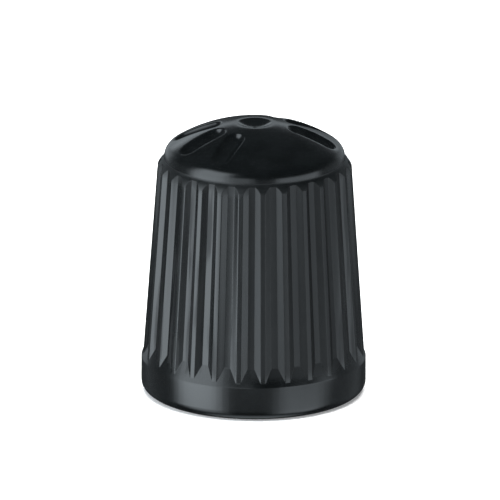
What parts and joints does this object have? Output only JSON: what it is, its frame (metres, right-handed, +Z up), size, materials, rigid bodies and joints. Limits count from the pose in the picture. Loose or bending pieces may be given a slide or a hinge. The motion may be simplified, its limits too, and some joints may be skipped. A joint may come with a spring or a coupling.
{
  "type": "tyre valve cap",
  "caption": "Black moulded screw cap for a tyre valve: plain collar, drafted grip ridges, domed top with radial hollows and a centre dimple, and a threaded bore that keeps dirt off the valve.",
  "frame": {"origin": "centre of the mouth rim, on the surface that the cap stands on", "axes": "+Z up along the cap's axis, from the mouth to the dome; -Y is the side that faces the camera"},
  "size_m": [0.0104, 0.0104, 0.0128],
  "materials": {
    "black_plastic": "satin black moulded plastic"
  },
  "bodies": {
    "root": {"valve_cap": "black_plastic"}
  },
  "joints": []
}
